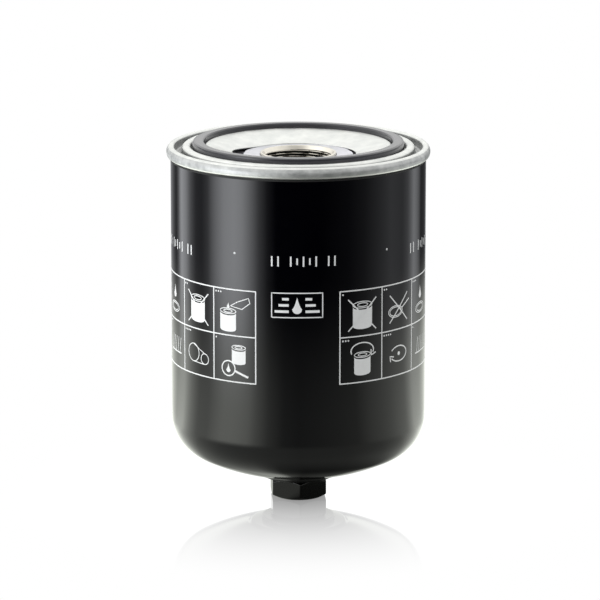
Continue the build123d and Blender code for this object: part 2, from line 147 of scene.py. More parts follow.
# %% Putting a grid of points into a mesh
def new_mesh_object(name, points, faces, sharp=35):
    """Object of that name from points in millimetres and four-cornered faces, with close points merged."""
    mesh = bpy.data.meshes.new(name)
    mesh.vertices.add(len(points))
    mesh.vertices.foreach_set("co", (points * MM).astype(np.float32).ravel())
    mesh.loops.add(faces.size)
    mesh.loops.foreach_set("vertex_index", faces.astype(np.int32).ravel())
    mesh.polygons.add(len(faces))
    mesh.polygons.foreach_set("loop_start", np.arange(0, faces.size, 4, dtype=np.int32))
    mesh.update(calc_edges=True)
    work = bmesh.new()
    work.from_mesh(mesh)
    bmesh.ops.remove_doubles(work, verts=work.verts, dist=1e-7)
    work.to_mesh(mesh)
    work.free()
    mesh.polygons.foreach_set("use_smooth", np.ones(len(mesh.polygons), bool))
    mesh.set_sharp_from_angle(angle=radians(sharp))
    piece = bpy.data.objects.new(name, mesh)
    bpy.context.scene.collection.objects.link(piece)
    return piece


def surface(name, grid, closed_section=True, sharp=35):
    """Closed piece from a grid whose second direction runs once round the axis.

    The faces are turned outwards by the sign of the enclosed volume, which is the sum over the faces of a
    sixth of the box spanned by three of their corners."""
    rows, columns = grid.shape[:2]
    number = np.arange(rows * columns).reshape(rows, columns)
    low = number if closed_section else number[:-1]
    high = np.roll(number, -1, 0) if closed_section else number[1:]
    faces = np.stack((low, high, np.roll(high, -1, 1), np.roll(low, -1, 1)), axis=-1).reshape(-1, 4)
    points = grid.reshape(-1, 3)
    a, b, c, d = (points[faces[:, k]] for k in range(4))
    volume = np.sum(a * np.cross(b, c)) / 6 + np.sum(a * np.cross(c, d)) / 6
    if volume < 0:
        faces = faces[:, ::-1]
    piece = new_mesh_object(name, points, faces, sharp)
    print(name, "points", len(piece.data.vertices), "volume", round(abs(volume) / 1000, 2), "cm3")
    return piece


# %% [markdown]
# ## Effects that several finishes share
# Metal and paint are never one even tone. Two small node groups make what most finishes here need: slow
# cloudiness, and the fine rings that a spinning tool leaves. They give values only, and each finish decides
# what to do with them.

# %% Helpers for nodes
def put(tree, kind, values=None, **settings):
    """New node. values sets or links its inputs: an output socket is linked, anything else is a value."""
    made = tree.nodes.new(kind)
    for key, value in settings.items():
        setattr(made, key, value)
    for key, value in (values or {}).items():
        if isinstance(value, bpy.types.NodeSocket):
            tree.links.new(value, made.inputs[key])
        else:
            made.inputs[key].default_value = value
    return made


def maths(tree, operation, first, second, clamp=False):
    """Output of a Math node."""
    return put(tree, "ShaderNodeMath", {0: first, 1: second}, operation=operation, use_clamp=clamp).outputs[0]


def mixed(tree, share, first, second):
    """Output of a node that mixes two colours."""
    return put(tree, "ShaderNodeMix", {"Factor": share, 6: first, 7: second}, data_type="RGBA").outputs[2]


def soft_step(tree, value, start, end):
    """Output that goes softly from 0, where the value is start, to 1, where it is end."""
    return put(tree, "ShaderNodeMapRange", {"Value": value, "From Min": start, "From Max": end},
               interpolation_type="SMOOTHSTEP").outputs[0]


def new_group(name, inputs, outputs):
    """Empty shader group with float inputs of those default values and float outputs of those names."""
    group = bpy.data.node_groups.new(name, "ShaderNodeTree")
    for title, value in inputs.items():
        socket = group.interface.new_socket(title, in_out="INPUT", socket_type="NodeSocketFloat")
        socket.default_value = value
    for title in outputs:
        group.interface.new_socket(title, in_out="OUTPUT", socket_type="NodeSocketFloat")
    print("group", name)
    return group, group.nodes.new("NodeGroupInput"), group.nodes.new("NodeGroupOutput")


# %% Cloudiness: broad patches with finer ones inside them
cloud, given, result = new_group("cloudiness", {"Size per metre": 60.0, "Contrast": 1.0}, ("Mask", "Height"))
place = put(cloud, "ShaderNodeTexCoord")
broad = put(
    cloud,
    "ShaderNodeTexNoise",
    {
        "Vector": place.outputs["Object"],
        "Scale": given.outputs["Size per metre"],
        "Detail": 5.0,
        "Roughness": 0.6,
    },
)
centred = maths(cloud, "SUBTRACT", broad.outputs["Fac"], 0.5)
stretched = maths(cloud, "MULTIPLY", centred, given.outputs["Contrast"])
cloud.links.new(maths(cloud, "ADD", stretched, 0.5, clamp=True), result.inputs["Mask"])
cloud.links.new(broad.outputs["Fac"], result.inputs["Height"])

# %% Tool rings: fine lines that follow the turning direction
rings, given, result = new_group(
    "tool_rings", {"Lines per metre": 3000.0, "Waver": 0.02}, ("Mask", "Height")
)
place = put(rings, "ShaderNodeTexCoord")
split = put(rings, "ShaderNodeSeparateXYZ", {"Vector": place.outputs["Object"]})
across = put(rings, "ShaderNodeCombineXYZ", {"X": split.outputs["X"], "Y": split.outputs["Y"]})
radius = put(rings, "ShaderNodeVectorMath", {0: across.outputs[0]}, operation="LENGTH")
wobble = put(rings, "ShaderNodeTexNoise", {"Vector": place.outputs["Object"], "Scale": 90.0, "Detail": 2.0})
drift = maths(rings, "MULTIPLY", wobble.outputs["Fac"], given.outputs["Waver"])
out_r = maths(rings, "ADD", radius.outputs["Value"], maths(rings, "MULTIPLY", drift, MM))
section = put(rings, "ShaderNodeCombineXYZ", {"X": out_r, "Y": split.outputs["Z"]})
line_noise = put(
    rings,
    "ShaderNodeTexNoise",
    {
        "Vector": section.outputs[0],
        "Scale": given.outputs["Lines per metre"],
        "Detail": 3.0,
        "Roughness": 0.7,
    },
)
rings.links.new(line_noise.outputs["Fac"], result.inputs["Mask"])
rings.links.new(line_noise.outputs["Fac"], result.inputs["Height"])

# %% Grain: a fine even roughness, as on paint, rubber and moulded plastic
grain, given, result = new_group("grain", {"Size per metre": 1500.0, "Softness": 0.5}, ("Mask", "Height"))
place = put(grain, "ShaderNodeTexCoord")
fine = put(
    grain,
    "ShaderNodeTexNoise",
    {
        "Vector": place.outputs["Object"],
        "Scale": given.outputs["Size per metre"],
        "Detail": 2.0,
        "Roughness": given.outputs["Softness"],
    },
)
grain.links.new(fine.outputs["Fac"], result.inputs["Mask"])
grain.links.new(fine.outputs["Fac"], result.inputs["Height"])

# %% [markdown]
# ## Finishes
# Each finish is a Principled shader. Its two colours are mixed by the cloudiness, its roughness wanders
# between two values, and its small relief comes from rings or grain through a Bump node. What differs
# between tinplate, turned steel, paint and rubber is only how much of each there is.

# %% One recipe for all finishes
def finish(name, colours, roughness, metallic=0.0, relief=("grain", 1500.0, 0.4), cloud_size=60.0,
           contrast=1.6, bump=0.05, depth=0.00005):
    """Material of two colours mixed by cloudiness, with a roughness between two values.

    Its relief is one of the groups, with that group's two inputs."""
    made = bpy.data.materials.new(name)
    made.use_nodes = True
    tree = made.node_tree
    tree.nodes.clear()
    clouds = put(tree, "ShaderNodeGroup", node_tree=cloud)
    clouds.inputs["Size per metre"].default_value = cloud_size
    clouds.inputs["Contrast"].default_value = contrast
    kind, size, second = relief
    lines = put(tree, "ShaderNodeGroup", node_tree={"grain": grain, "rings": rings}[kind])
    lines.inputs[0].default_value = size
    lines.inputs[1].default_value = second
    tone = mixed(tree, clouds.outputs["Mask"], (*colours[0], 1), (*colours[1], 1))
    rough = put(
        tree,
        "ShaderNodeMapRange",
        {
            "Value": maths(tree, "ADD", clouds.outputs["Mask"], lines.outputs["Mask"]),
            "From Min": 0.4,
            "From Max": 1.6,
            "To Min": roughness[0],
            "To Max": roughness[1],
        },
    )
    dents = put(tree, "ShaderNodeBump",
                {"Height": lines.outputs["Height"], "Strength": bump, "Distance": depth})
    shader = put(
        tree,
        "ShaderNodeBsdfPrincipled",
        {
            "Base Color": tone,
            "Roughness": rough.outputs[0],
            "Metallic": metallic,
            "Normal": dents.outputs[0],
        },
    )
    put(tree, "ShaderNodeOutputMaterial", {"Surface": shader.outputs[0]})
    made.diffuse_color = (*colours[0], 1)
    return made


print("groups to build finishes from:", cloud.name, rings.name, grain.name)

# %% The finishes themselves
finishes = {
    "black_paint": finish(
        "black_paint", ((0.0004, 0.0004, 0.0012), (0.0009, 0.0009, 0.0020)), (0.07, 0.12),
        relief=("grain", 420.0, 0.45), bump=0.015, depth=0.0001),
    "boss_paint": finish(
        "boss_paint", ((0.0012, 0.0013, 0.0016), (0.003, 0.003, 0.003)), (0.22, 0.34),
        relief=("grain", 900.0, 0.5), bump=0.08),
    "plug_paint": finish(
        "plug_paint", ((0.0012, 0.0012, 0.0012), (0.004, 0.004, 0.0038)), (0.10, 0.17),
        relief=("grain", 700.0, 0.5), bump=0.03),
    "tinned_sheet": finish(
        "tinned_sheet", ((0.64, 0.655, 0.64), (0.82, 0.83, 0.805)), (0.30, 0.44), metallic=0.84,
        relief=("rings", 1500.0, 0.6), cloud_size=130.0, contrast=2.6, bump=0.05),
    # a darker copy of the tinned sheet: painted shade for the cover's channel
    "channel_painted_shade": finish(
        "channel_painted_shade", ((0.34, 0.35, 0.345), (0.50, 0.505, 0.50)), (0.34, 0.46), metallic=1.0,
        relief=("rings", 1500.0, 0.6), cloud_size=130.0, contrast=2.6, bump=0.05),
    "rolled_tin": finish(
        "rolled_tin", ((0.40, 0.41, 0.41), (0.60, 0.61, 0.605)), (0.42, 0.56), metallic=0.8,
        relief=("rings", 1500.0, 0.6), cloud_size=220.0, contrast=3.0, bump=0.05),
    # matte black: painted shadow for the thin ring just below the seam
    "seam_painted_shadow": finish(
        "seam_painted_shadow", ((0.002, 0.002, 0.002), (0.006, 0.006, 0.006)), (0.55, 0.7),
        relief=("grain", 2000.0, 0.6), bump=0.2),
    "plate_steel": finish(
        "plate_steel", ((0.64, 0.64, 0.69), (0.76, 0.76, 0.81)), (0.26, 0.40), metallic=0.92,
        relief=("rings", 2200.0, 0.4), cloud_size=150.0, bump=0.05),
    "hub_steel": finish(
        "hub_steel", ((0.66, 0.63, 0.56), (0.84, 0.80, 0.72)), (0.24, 0.36), metallic=1.0,
        relief=("rings", 3000.0, 0.1), cloud_size=200.0, bump=0.06),
    # a near-black copy of the hub's steel: painted shade for the thread's groove
    "thread_painted_shade": finish(
        "thread_painted_shade", ((0.03, 0.028, 0.025), (0.06, 0.056, 0.05)), (0.16, 0.26), metallic=1.0,
        relief=("grain", 1800.0, 0.5), cloud_size=200.0, bump=0.06),
    "gasket_rubber": finish(
        "gasket_rubber", ((0.030, 0.030, 0.036), (0.044, 0.044, 0.052)), (0.10, 0.18),
        relief=("rings", 1500.0, 0.2), bump=0.06),
    "valve_rubber": finish(
        "valve_rubber", ((0.012, 0.012, 0.012), (0.026, 0.026, 0.026)), (0.45, 0.6),
        relief=("grain", 2200.0, 0.6), bump=0.2),
    "seal_rubber": finish(
        "seal_rubber", ((0.015, 0.015, 0.015), (0.03, 0.03, 0.03)), (0.45, 0.6),
        relief=("grain", 2200.0, 0.6), bump=0.2),
    "washer_rubber": finish(
        "washer_rubber", ((0.008, 0.008, 0.008), (0.018, 0.018, 0.018)), (0.5, 0.65),
        relief=("grain", 2600.0, 0.6), bump=0.2),
    "spring_steel": finish(
        "spring_steel", ((0.36, 0.37, 0.39), (0.50, 0.51, 0.53)), (0.28, 0.42), metallic=1.0,
        relief=("grain", 3800.0, 0.6), cloud_size=200.0, bump=0.15),
    "inner_steel": finish(
        "inner_steel", ((0.48, 0.49, 0.50), (0.62, 0.63, 0.64)), (0.26, 0.42), metallic=1.0,
        relief=("rings", 2400.0, 0.6), bump=0.10),
    "cap_steel": finish(
        "cap_steel", ((0.56, 0.56, 0.54), (0.70, 0.70, 0.68)), (0.26, 0.40), metallic=1.0,
        relief=("rings", 2000.0, 0.8), cloud_size=110.0, bump=0.10),
    "tube_steel": finish(
        "tube_steel", ((0.50, 0.51, 0.52), (0.64, 0.65, 0.66)), (0.28, 0.42), metallic=1.0,
        relief=("grain", 1800.0, 0.5), bump=0.08),
    "plastisol": finish(
        "plastisol", ((0.42, 0.38, 0.30), (0.54, 0.49, 0.40)), (0.45, 0.6),
        relief=("grain", 500.0, 0.5), bump=0.2),
    "filter_paper": finish(
        "filter_paper", ((0.60, 0.42, 0.19), (0.74, 0.56, 0.30)), (0.75, 0.9),
        relief=("grain", 3200.0, 0.75), cloud_size=400.0, bump=0.5),
    "band_glue": finish(
        "band_glue", ((0.62, 0.58, 0.46), (0.76, 0.72, 0.60)), (0.35, 0.5),
        relief=("grain", 700.0, 0.5), bump=0.2),
    "white_ink": finish(
        "white_ink", ((0.86, 0.87, 0.89), (0.94, 0.95, 0.97)), (0.30, 0.45),
        relief=("grain", 2600.0, 0.6), cloud_size=900.0, bump=0.1),
}
print("finishes:", len(finishes))


def dress(piece, name):
    """Gives a piece one finish."""
    piece.data.materials.clear()
    piece.data.materials.append(finishes[name])


# %% [markdown]
# ## The can
# The can is deep-drawn from one sheet 0.8 mm thick. Its closed end is a shallow crown that turns into the
# wall through a corner of about 20 mm, with a flat pad for the drain boss. At the mouth the sheet hooks
# outwards, and the cover is rolled over that hook.

# %% Section of the can
low, high = (np.array(corner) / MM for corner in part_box("can_shell"))
can_r, wall = 65.75, 0.8
wall_r = can_r - wall / 2
hook_rise = 0.625
pad_z = low[2] + wall / 2
crown, corner_r = 122.0 - wall / 2, 20.2 - wall / 2
crown_z = low[2] - 1.4 + 122.0
corner_at = wall_r - corner_r
meet = np.arcsin(corner_at / (crown - corner_r))
corner_z = crown_z - (crown - corner_r) * cos(meet)
first = np.arcsin(26.0 / crown)
on_crown = np.linspace(first, meet, 26)[:, None]
on_corner = np.linspace(meet, pi / 2, 20)[1:, None]
crown_line = np.hstack((crown * np.sin(on_crown), crown_z - crown * np.cos(on_crown)))
corner_line = np.hstack((corner_at + corner_r * np.sin(on_corner), corner_z - corner_r * np.cos(on_corner)))
hook_r, hook_z = wall_r + 1.25, high[2] - wall / 2 - hook_rise
pad_line = bend([(15.0, pad_z), (24.4, pad_z), tuple(crown_line[0]), tuple(crown_line[2])], (1.2, 1.6))[:-1]
hook_line = bend(
    [(wall_r, hook_z - 7.0), (wall_r, hook_z + hook_rise), (hook_r, hook_z + hook_rise),
     (hook_r, hook_z - 1.8)],
    (0.6, 0.6),
)
can_line = np.concatenate((pad_line, crown_line[3:], corner_line, fill_in(hook_line, 5.0)))
can_line = fill_in(can_line, 6.0)
print("section of the can:", len(can_line), "points, up to", can_line[-1].round(2))

# %% The can as a surface
def can_surface(columns=288):
    """The sheet's loop carried round the axis."""
    return carry_round(sheet(can_line, wall), around(columns))


can = surface("can", can_surface())
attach(can, "filter_body")
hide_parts("can_shell")
dress(can, "black_paint")

# %% [markdown]
# ## The cover
# The cover is tinned sheet. From outside inwards it is the rolled seam, a channel, a ridge, the groove that
# holds the gasket, and a cone that falls to the middle. Two lobes in its inner edge let the oil in. Rolling
# leaves the seam slightly uneven, so its face gets shallow waves a few hundredths of a millimetre deep.

# %% Section of the cover
low, high = (np.array(corner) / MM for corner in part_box("seaming_lid"))
tin = 0.7
top, rim_r = high[2], high[0]
crest = top - tin / 2
cover_line = bend(
    [
        (66.1, low[2] + tin / 2),
        (rim_r - tin / 2 - 0.5, low[2] + tin / 2 + 0.25),
        (rim_r - tin / 2, low[2] + 2.7),
        (rim_r - tin / 2 - 0.25, crest - 1.5),
        (rim_r - tin / 2 - 1.4, crest),
        (64.3, crest),
        (63.9, crest - 4.8),
        (59.95, crest - 4.8),
        (59.4, crest),
        (55.45, crest + 0.35),
        (55.45, top - 3.0 - tin / 2),
        (47.95, top - 3.0 - tin / 2),
        (47.95, crest + 0.25),
        (30.0, top - 4.4 - tin / 2),
    ],
    (0.9, 2.4, 2.4, 1.4, 0.9, 1.5, 1.5, 1.6, 1.6, 0.5, 0.5, 0.8),
)
cover_loop = sheet(fill_in(cover_line, 2.2), tin)
print("section of the cover:", len(cover_loop), "points")

# %% The cover's inner edge
lobe_turn, lobe_half, lobe_depths = radians(4.5), radians(52.0), (0.6, 5.0)
cone_top, plain_edge, cone_slope = 46.8, 29.05, (4.65 / 17.95)


def lobe_edge(angles):
    """Radius of the cover's inner edge: the plain radius, and over each lobe its depth times cos squared of a
    quarter turn times d / h, with d the angle from the lobe's middle and h its half span."""
    edge = np.full_like(angles, plain_edge)
    for half_turn, depth in zip((0, pi), lobe_depths):
        off = np.mod(angles - lobe_turn - half_turn + pi, 2 * pi) - pi
        edge = edge + depth * np.cos(np.clip(off / lobe_half, -1, 1) * pi / 2) ** 2
    return edge


print("inner edge from", plain_edge, "to", lobe_edge(around(360)).max().round(2), "mm")

# %% The cover as a surface
def cover_surface():
    """The loop carried round. Inside the groove each radius is stretched about the cone's top, so that the
    edge follows the lobes and the height stays on the cone. The outer face waves with three slow sines."""
    angles = around(288)
    grid = carry_round(cover_loop, angles)
    radius = np.repeat(cover_loop[:, :1], len(angles), axis=1)
    height = grid[..., 2]
    section_edge = 30.0 - tin / 2
    stretch = (cone_top - lobe_edge(angles)) / (cone_top - section_edge)
    on_cone = radius < cone_top
    moved = np.where(on_cone, cone_top - (cone_top - radius) * stretch, radius)
    height = height + (moved - radius) * cone_slope
    rolled = np.clip((moved - 66.8) / 1.2, 0, 1) * np.clip((height - low[2] - 0.3) / 1.0, 0, 1)
    rolled = rolled * np.clip((top - 0.4 - height) / 1.0, 0, 1)
    wave = np.sin(23 * angles + 0.7) + 0.8 * np.sin(41 * angles + 2.1) + 0.6 * np.sin(67 * angles + height)
    moved = moved - rolled * (0.035 + 0.014 * wave)
    return np.stack((moved * np.cos(angles), moved * np.sin(angles), height), axis=-1)


cover = surface("cover", cover_surface())
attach(cover, "filter_body")
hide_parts("seaming_lid")
dress(cover, "tinned_sheet")


def face_middles(piece):
    """Middle of every face of a piece, in millimetres, as radius and height."""
    middle = np.empty(len(piece.data.polygons) * 3)
    piece.data.polygons.foreach_get("center", middle)
    middle = middle.reshape(-1, 3) / MM
    return np.hypot(middle[:, 0], middle[:, 1]), middle[:, 2]


def more_finishes(piece, chosen):
    """Gives some faces of a piece further finishes, from a table of finish and chosen faces."""
    index = np.zeros(len(piece.data.polygons), np.int32)
    for number, (name, faces) in enumerate(chosen.items(), 1):
        piece.data.materials.append(finishes[name])
        index[faces] = number
        print(piece.name, "faces with", name, int(faces.sum()))
    piece.data.polygons.foreach_set("material_index", index)


# the channel is painted darker than the ridge, as painted shade in its recess, and the seaming rollers leave
# the seam's face duller than the ridge and the seam's edges
radius, height = face_middles(cover)
seam_low = low[2]
more_finishes(cover, {
    "channel_painted_shade": (radius > 59.0) & (radius < 64.8) & (height < crest - 0.4),
    "rolled_tin": (radius > 66.9) & (height > seam_low + 1.0) & (height < top - 0.8),
})

# %% [markdown]
# ## The screwed hub
# The hub is turned steel with an M36 thread of 1.5 mm pitch. A thread is one groove that climbs as it goes
# round, so the bore's radius depends on the height less the climb at that angle. The groove starts and
# ends softly, where the tool runs in and out.

# %% The hub as a surface
minor_r, major_r, pitch = 17.188, 18.0, 1.5
crest_share, flank_share = 0.22, 0.60
low, high = (np.array(corner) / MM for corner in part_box("threaded_hub"))
hub_top, hub_low = high[2], low[2]
plate_low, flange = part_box("base_plate")[0][2] / MM, 4.2


def hub_surface(columns=240):
    """Bore, bevel, collar, flange and skirt as one loop. In the bore the radius is the core radius plus the
    thread's depth times a trapezoid wave of (height / pitch - turns), faded out at both ends."""
    bore_z = np.linspace(hub_low + 1.0, hub_top - 2.0, 185)
    bore = np.stack((np.full_like(bore_z, minor_r), bore_z), axis=1)
    rest = bend(
        [
            (minor_r, hub_top - 1.9),
            (18.5, hub_top),
            (19.6, hub_top),
            (19.6, plate_low),
            (25.2, plate_low),
            (25.2, plate_low - flange),
            (20.0, plate_low - flange),
            (20.0, hub_low),
            (minor_r + 1.0, hub_low),
            (minor_r + 0.1, hub_low + 0.9),
        ],
        (0.5, 0.5, 0.2, 0.3, 0.3, 0.3, 0.3, 0.2),
    )
    loop = np.concatenate((bore, fill_in(rest, 3.0)))
    angles = around(columns)
    grid = carry_round(loop, angles)
    climb = bore_z[:, None] / pitch - angles[None, :] / (2 * pi)
    flank = np.abs(np.mod(climb, 1) - 0.5) * 2
    groove = np.clip((flank - crest_share) / flank_share, 0, 1)
    fade_in = np.clip((bore_z - bore_z[0]) / pitch, 0, 1)
    fade = fade_in * np.clip((bore_z[-1] + 0.3 - bore_z) / (0.6 * pitch), 0, 1)
    radius = minor_r + (major_r - minor_r) * groove * fade[:, None]
    grid[: len(bore_z), :, 0] = radius * np.cos(angles)
    grid[: len(bore_z), :, 1] = radius * np.sin(angles)
    return grid


hub = surface("screwed_hub", hub_surface(), sharp=50)
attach(hub, "filter_body")
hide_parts("threaded_hub")
dress(hub, "hub_steel")

# the thread's groove is painted near black, as painted shade deep in the bore, while its crests keep the
# hub's bright steel
radius, height = face_middles(hub)
groove = (radius > minor_r + 0.2) & (radius < major_r + 0.05) & (height < hub_top - 2.0)
more_finishes(hub, {"thread_painted_shade": groove})

# %% [markdown]
# ## Gasket, washer and boss
# The gasket is a moulded rubber ring. Its outer top edge is bevelled, and a small step in its side shows
# where the mould parts. A thin black ring just below the seam is painted shadow under the seam's roll. The
# boss is a turned bush that is welded to the can's pad, and the washer seals the plug. All are carried round.

# %% Rings of rubber and steel
def ring_surface(inner, outer, bottom, upper, radius, columns=256):
    """Rectangle with rounded corners, carried round. It starts and ends in the middle of its lower side."""
    start = ((inner + outer) / 2, bottom)
    corners = [start, (outer, bottom), (outer, upper), (inner, upper), (inner, bottom), start]
    return carry_round(fill_in(bend(corners, (radius,) * 4), 0.8)[:-1], around(columns))


low, high = (np.array(corner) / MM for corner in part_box("base_gasket"))
gasket_line = bend(
    [(51.0, low[2]), (54.5, low[2]), (54.5, high[2] - 1.5), (54.05, high[2] - 1.35), (54.05, high[2] - 0.45),
     (52.9, high[2]), (49.2, high[2]), (48.4, high[2] - 0.6), (48.4, low[2]), (51.0, low[2])],
    (0.3, 0.12, 0.12, 0.3, 0.8, 0.6, 0.5, 0.3),
)
gasket = surface("gasket", carry_round(fill_in(gasket_line, 0.8)[:-1], around(256)), sharp=60)
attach(gasket, "filter_body")
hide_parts("base_gasket")
dress(gasket, "gasket_rubber")

# a thin matte black ring just below the seam: painted shadow where the seam's roll shades the can
seam_shadow = surface("seam_painted_shadow", ring_surface(65.6, 65.95, seam_low - 1.3, seam_low + 0.3, 0.12))
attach(seam_shadow, "filter_body")
dress(seam_shadow, "seam_painted_shadow")

low, high = (np.array(corner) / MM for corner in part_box("drain_seal"))
washer = surface("plug_washer", ring_surface(10.4, 13.6, low[2], high[2], 0.3, columns=128))
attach(washer, "plug_washer")
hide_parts("drain_seal")
dress(washer, "washer_rubber")

# %% The boss
low, high = (np.array(corner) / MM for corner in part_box("drain_boss"))
boss_line = bend(
    [(14.0, low[2]), (19.0, low[2]), (19.0, low[2] + 2.5), (14.2, low[2] + 2.5),
     (14.2, high[2]), (10.0, high[2]), (10.0, low[2]), (14.0, low[2])],
    (0.7, 0.25, 0.3, 0.8, 0.4, 0.4),
)
boss = surface("weld_boss", carry_round(fill_in(boss_line, 2.0)[:-1], around(144)))
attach(boss, "filter_body")
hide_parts("drain_boss")
dress(boss, "boss_paint")

# %% [markdown]
# ## The drain plug
# A hexagon is a radius that depends on the angle, and a turned chamfer is a radius that depends on the
# height. The head is wherever the smaller of the two lies, which gives the curved edges of a real bolt
# head. A soft minimum rounds that edge as forging and a thick coat of paint do.

# %% Hexagon and chamfer
half_flat, corner_round, hex_turn, head = 14.0, 1.0, radians(-25.4), 9.6
shank_r, thread_depth, plug_pitch = 9.95, 0.85, 1.5
chamfer = tan(radians(30))
low, high = (np.array(corner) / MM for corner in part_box("drain_plug"))


def hexagon(angles):
    """Radius of a hexagon with rounded corners: half the width over cos of the angle from the flat's middle.
    Near a corner it is an arc about a centre on the corner's line, and the arc touches both flats."""
    from_corner = np.abs(np.mod(angles - hex_turn + pi / 6, pi / 3) - pi / 6)
    flat = half_flat / np.cos(pi / 6 - from_corner)
    centre = (half_flat - corner_round) / cos(pi / 6)
    touch = np.arctan2(corner_round * sin(pi / 6), centre + corner_round * cos(pi / 6))
    reach = np.clip(corner_round**2 - (centre * np.sin(from_corner)) ** 2, 0, None)
    return np.where(from_corner < touch, centre * np.cos(from_corner) + np.sqrt(reach), flat)


def soft_min(a, b, softness):
    """Minimum of two fields with a rounded crease: minus s times log(exp(-a / s) + exp(-b / s))."""
    least = np.minimum(a, b)
    return least - softness * np.log(np.exp(-(a - least) / softness) + np.exp(-(b - least) / softness))


print("across the corners:", round(2 * float(hexagon(np.array([hex_turn]))[0]), 2), "mm")

# %% The plug as a surface
def plug_surface(columns=240):
    """Under face, head, neck, threaded shank and end, from pole to pole.

    The head's radius is the soft minimum of the hexagon and the two chamfer cones. The shank's is its outer
    radius less the thread's depth times a climbing trapezoid wave."""
    angles = around(columns)
    rows = []

    def flat_rows(radii, height):
        rows.extend((np.full(columns, r), np.full(columns, height)) for r in radii)

    flat_rows((0, 3, 6, 9, 11, 12.2), low[2])
    for height in (*np.linspace(0.0, 2.4, 22), *np.linspace(2.7, 7.0, 9), *np.linspace(7.3, head, 22)):
        under = 13.0 + height / chamfer
        over = 14.9 + (head - height) / chamfer
        cone = soft_min(under, over, 0.1)
        rows.append((soft_min(hexagon(angles), np.full(columns, cone), 0.22), np.full(columns, height)))
    flat_rows((12.4, 11, 9.4), head)
    flat_rows((9.0,), head + 0.3)
    shank = np.linspace(head + 1.0, high[2] - 1.0, 70)
    for height in shank:
        wave = np.abs(np.mod(height / plug_pitch - angles / (2 * pi), 1) - 0.5) * 2
        fade = min(1, (height - shank[0]) / plug_pitch) * min(1, (shank[-1] - height) / plug_pitch)
        groove_depth = thread_depth * np.clip((wave - 0.2) / 0.6, 0, 1) * fade
        rows.append((shank_r - groove_depth, np.full(columns, height)))
    flat_rows((9.0, 6, 3, 0), high[2])
    radius = np.array([r for r, _ in rows])
    height = np.array([z for _, z in rows])
    return np.stack((radius * np.cos(angles), radius * np.sin(angles), height), axis=-1)


plug = surface("drain_plug_head", plug_surface(), closed_section=False, sharp=50)
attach(plug, "plug")
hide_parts("drain_plug")
dress(plug, "plug_paint")

# %% [markdown]
# ## The springs of the valves
# Each valve is pressed shut by a coil spring of round wire, which gets shorter when the valve opens. A coil
# is a circle carried along a helix. A measured piece keeps its shape, so a new coil takes its place.

# %% A coil of round wire
def coil_surface(coil_r, wire_r, low_z, high_z, turns, columns=14):
    """Circle of the wire's radius carried along a helix, with half-round ends.

    At angle a the circle's middle is (R cos a, R sin a, z), and z rises evenly. Its two directions are
    straight out from the axis, and the cross product of the wire's way and that."""
    angle = np.linspace(0, 2 * pi * turns, int(turns * 60) + 1)
    out = np.stack((np.cos(angle), np.sin(angle), 0 * angle), axis=1)
    middle = out * coil_r
    middle[:, 2] = np.linspace(low_z + wire_r, high_z - wire_r, len(angle))
    way = np.gradient(middle, axis=0)
    way /= np.linalg.norm(way, axis=1)[:, None]
    side = np.cross(way, out)
    swing = np.linspace(0, pi / 2, 6)[:-1, None]
    reach, size = wire_r * np.cos(swing), wire_r * np.sin(swing)
    middle = np.concatenate((middle[0] - way[0] * reach, middle, (middle[-1] + way[-1] * reach)[::-1]))
    size = np.concatenate((size, np.full((len(angle), 1), wire_r), size[::-1]))
    ends = len(swing)
    out, side = (np.concatenate((v[:1].repeat(ends, 0), v, v[-1:].repeat(ends, 0))) for v in (out, side))
    turn = around(columns)[None, :, None]
    return middle[:, None] + size[:, None] * (out[:, None] * np.cos(turn) + side[:, None] * np.sin(turn))


print("a coil of two turns is a grid of", coil_surface(5.0, 0.5, 0.0, 4.0, 2).shape[:2])

# %% The two coils
# name, measured piece, wire's radius, turns, joint, its travel, and the end that stays: 0 is the low one
for name, node, wire_r, turns, joint, travel, fixed in (
    ("anti_drain_coil", "anti_drain_spring", 0.35, 2, "anti_drain_lift", 1.6, 0),
    ("bypass_coil", "bypass_spring", 0.65, 5.5, "bypass_lift", 6.0, 1),
):
    low, high = (np.array(corner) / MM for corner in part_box(node))
    coil = surface(name, coil_surface(high[0] - wire_r, wire_r, low[2], high[2], turns), closed_section=False)
    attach(coil, "filter_body")
    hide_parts(node)
    dress(coil, "spring_steel")
    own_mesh(coil)

# %% [markdown]
# ## Printing on the can
# The can carries a printed band of fitting steps, a framed mark and short rows of marks. Here they are plain
# symbols: drops, rings, arrows and filter shapes, with pips for the step numbers. Ink is a film, so it is
# drawn flat in millimetres, as strips and filled shapes, and then wrapped onto the can.

# %% Drawing flat shapes
patches = []


def strip(points, width):
    """Strip of that width along a line: each point is moved half the width to either side of its way."""
    points = fill_in(np.array(points, float), 1.0)
    way = np.gradient(points, axis=0)
    way /= np.linalg.norm(way, axis=1)[:, None]
    side = np.stack((-way[:, 1], way[:, 0]), axis=1) * width / 2
    patches.append(np.stack((points - side, points + side), axis=1))


def between(across, lower, upper):
    """Filled shape between a lower and an upper curve over the same positions across."""
    patches.append(np.stack((np.stack((across, lower), axis=1), np.stack((across, upper), axis=1)), axis=1))


def oval(x, y, a, b, width, start=0.0, end=2 * pi):
    """Outline of an ellipse, or of a part of it: (x + a cos t, y + b sin t)."""
    t = np.linspace(start, end, max(8, int(14 * (a + b) / 4)))
    strip(np.stack((x + a * np.cos(t), y + b * np.sin(t)), axis=1), width)


def dot(x, y, r):
    """Filled circle: plus and minus the root of r squared minus the distance squared."""
    across = np.linspace(-r, r, 11)
    half = np.sqrt(np.clip(r * r - across**2, 0, None))
    between(x + across, y - half, y + half)


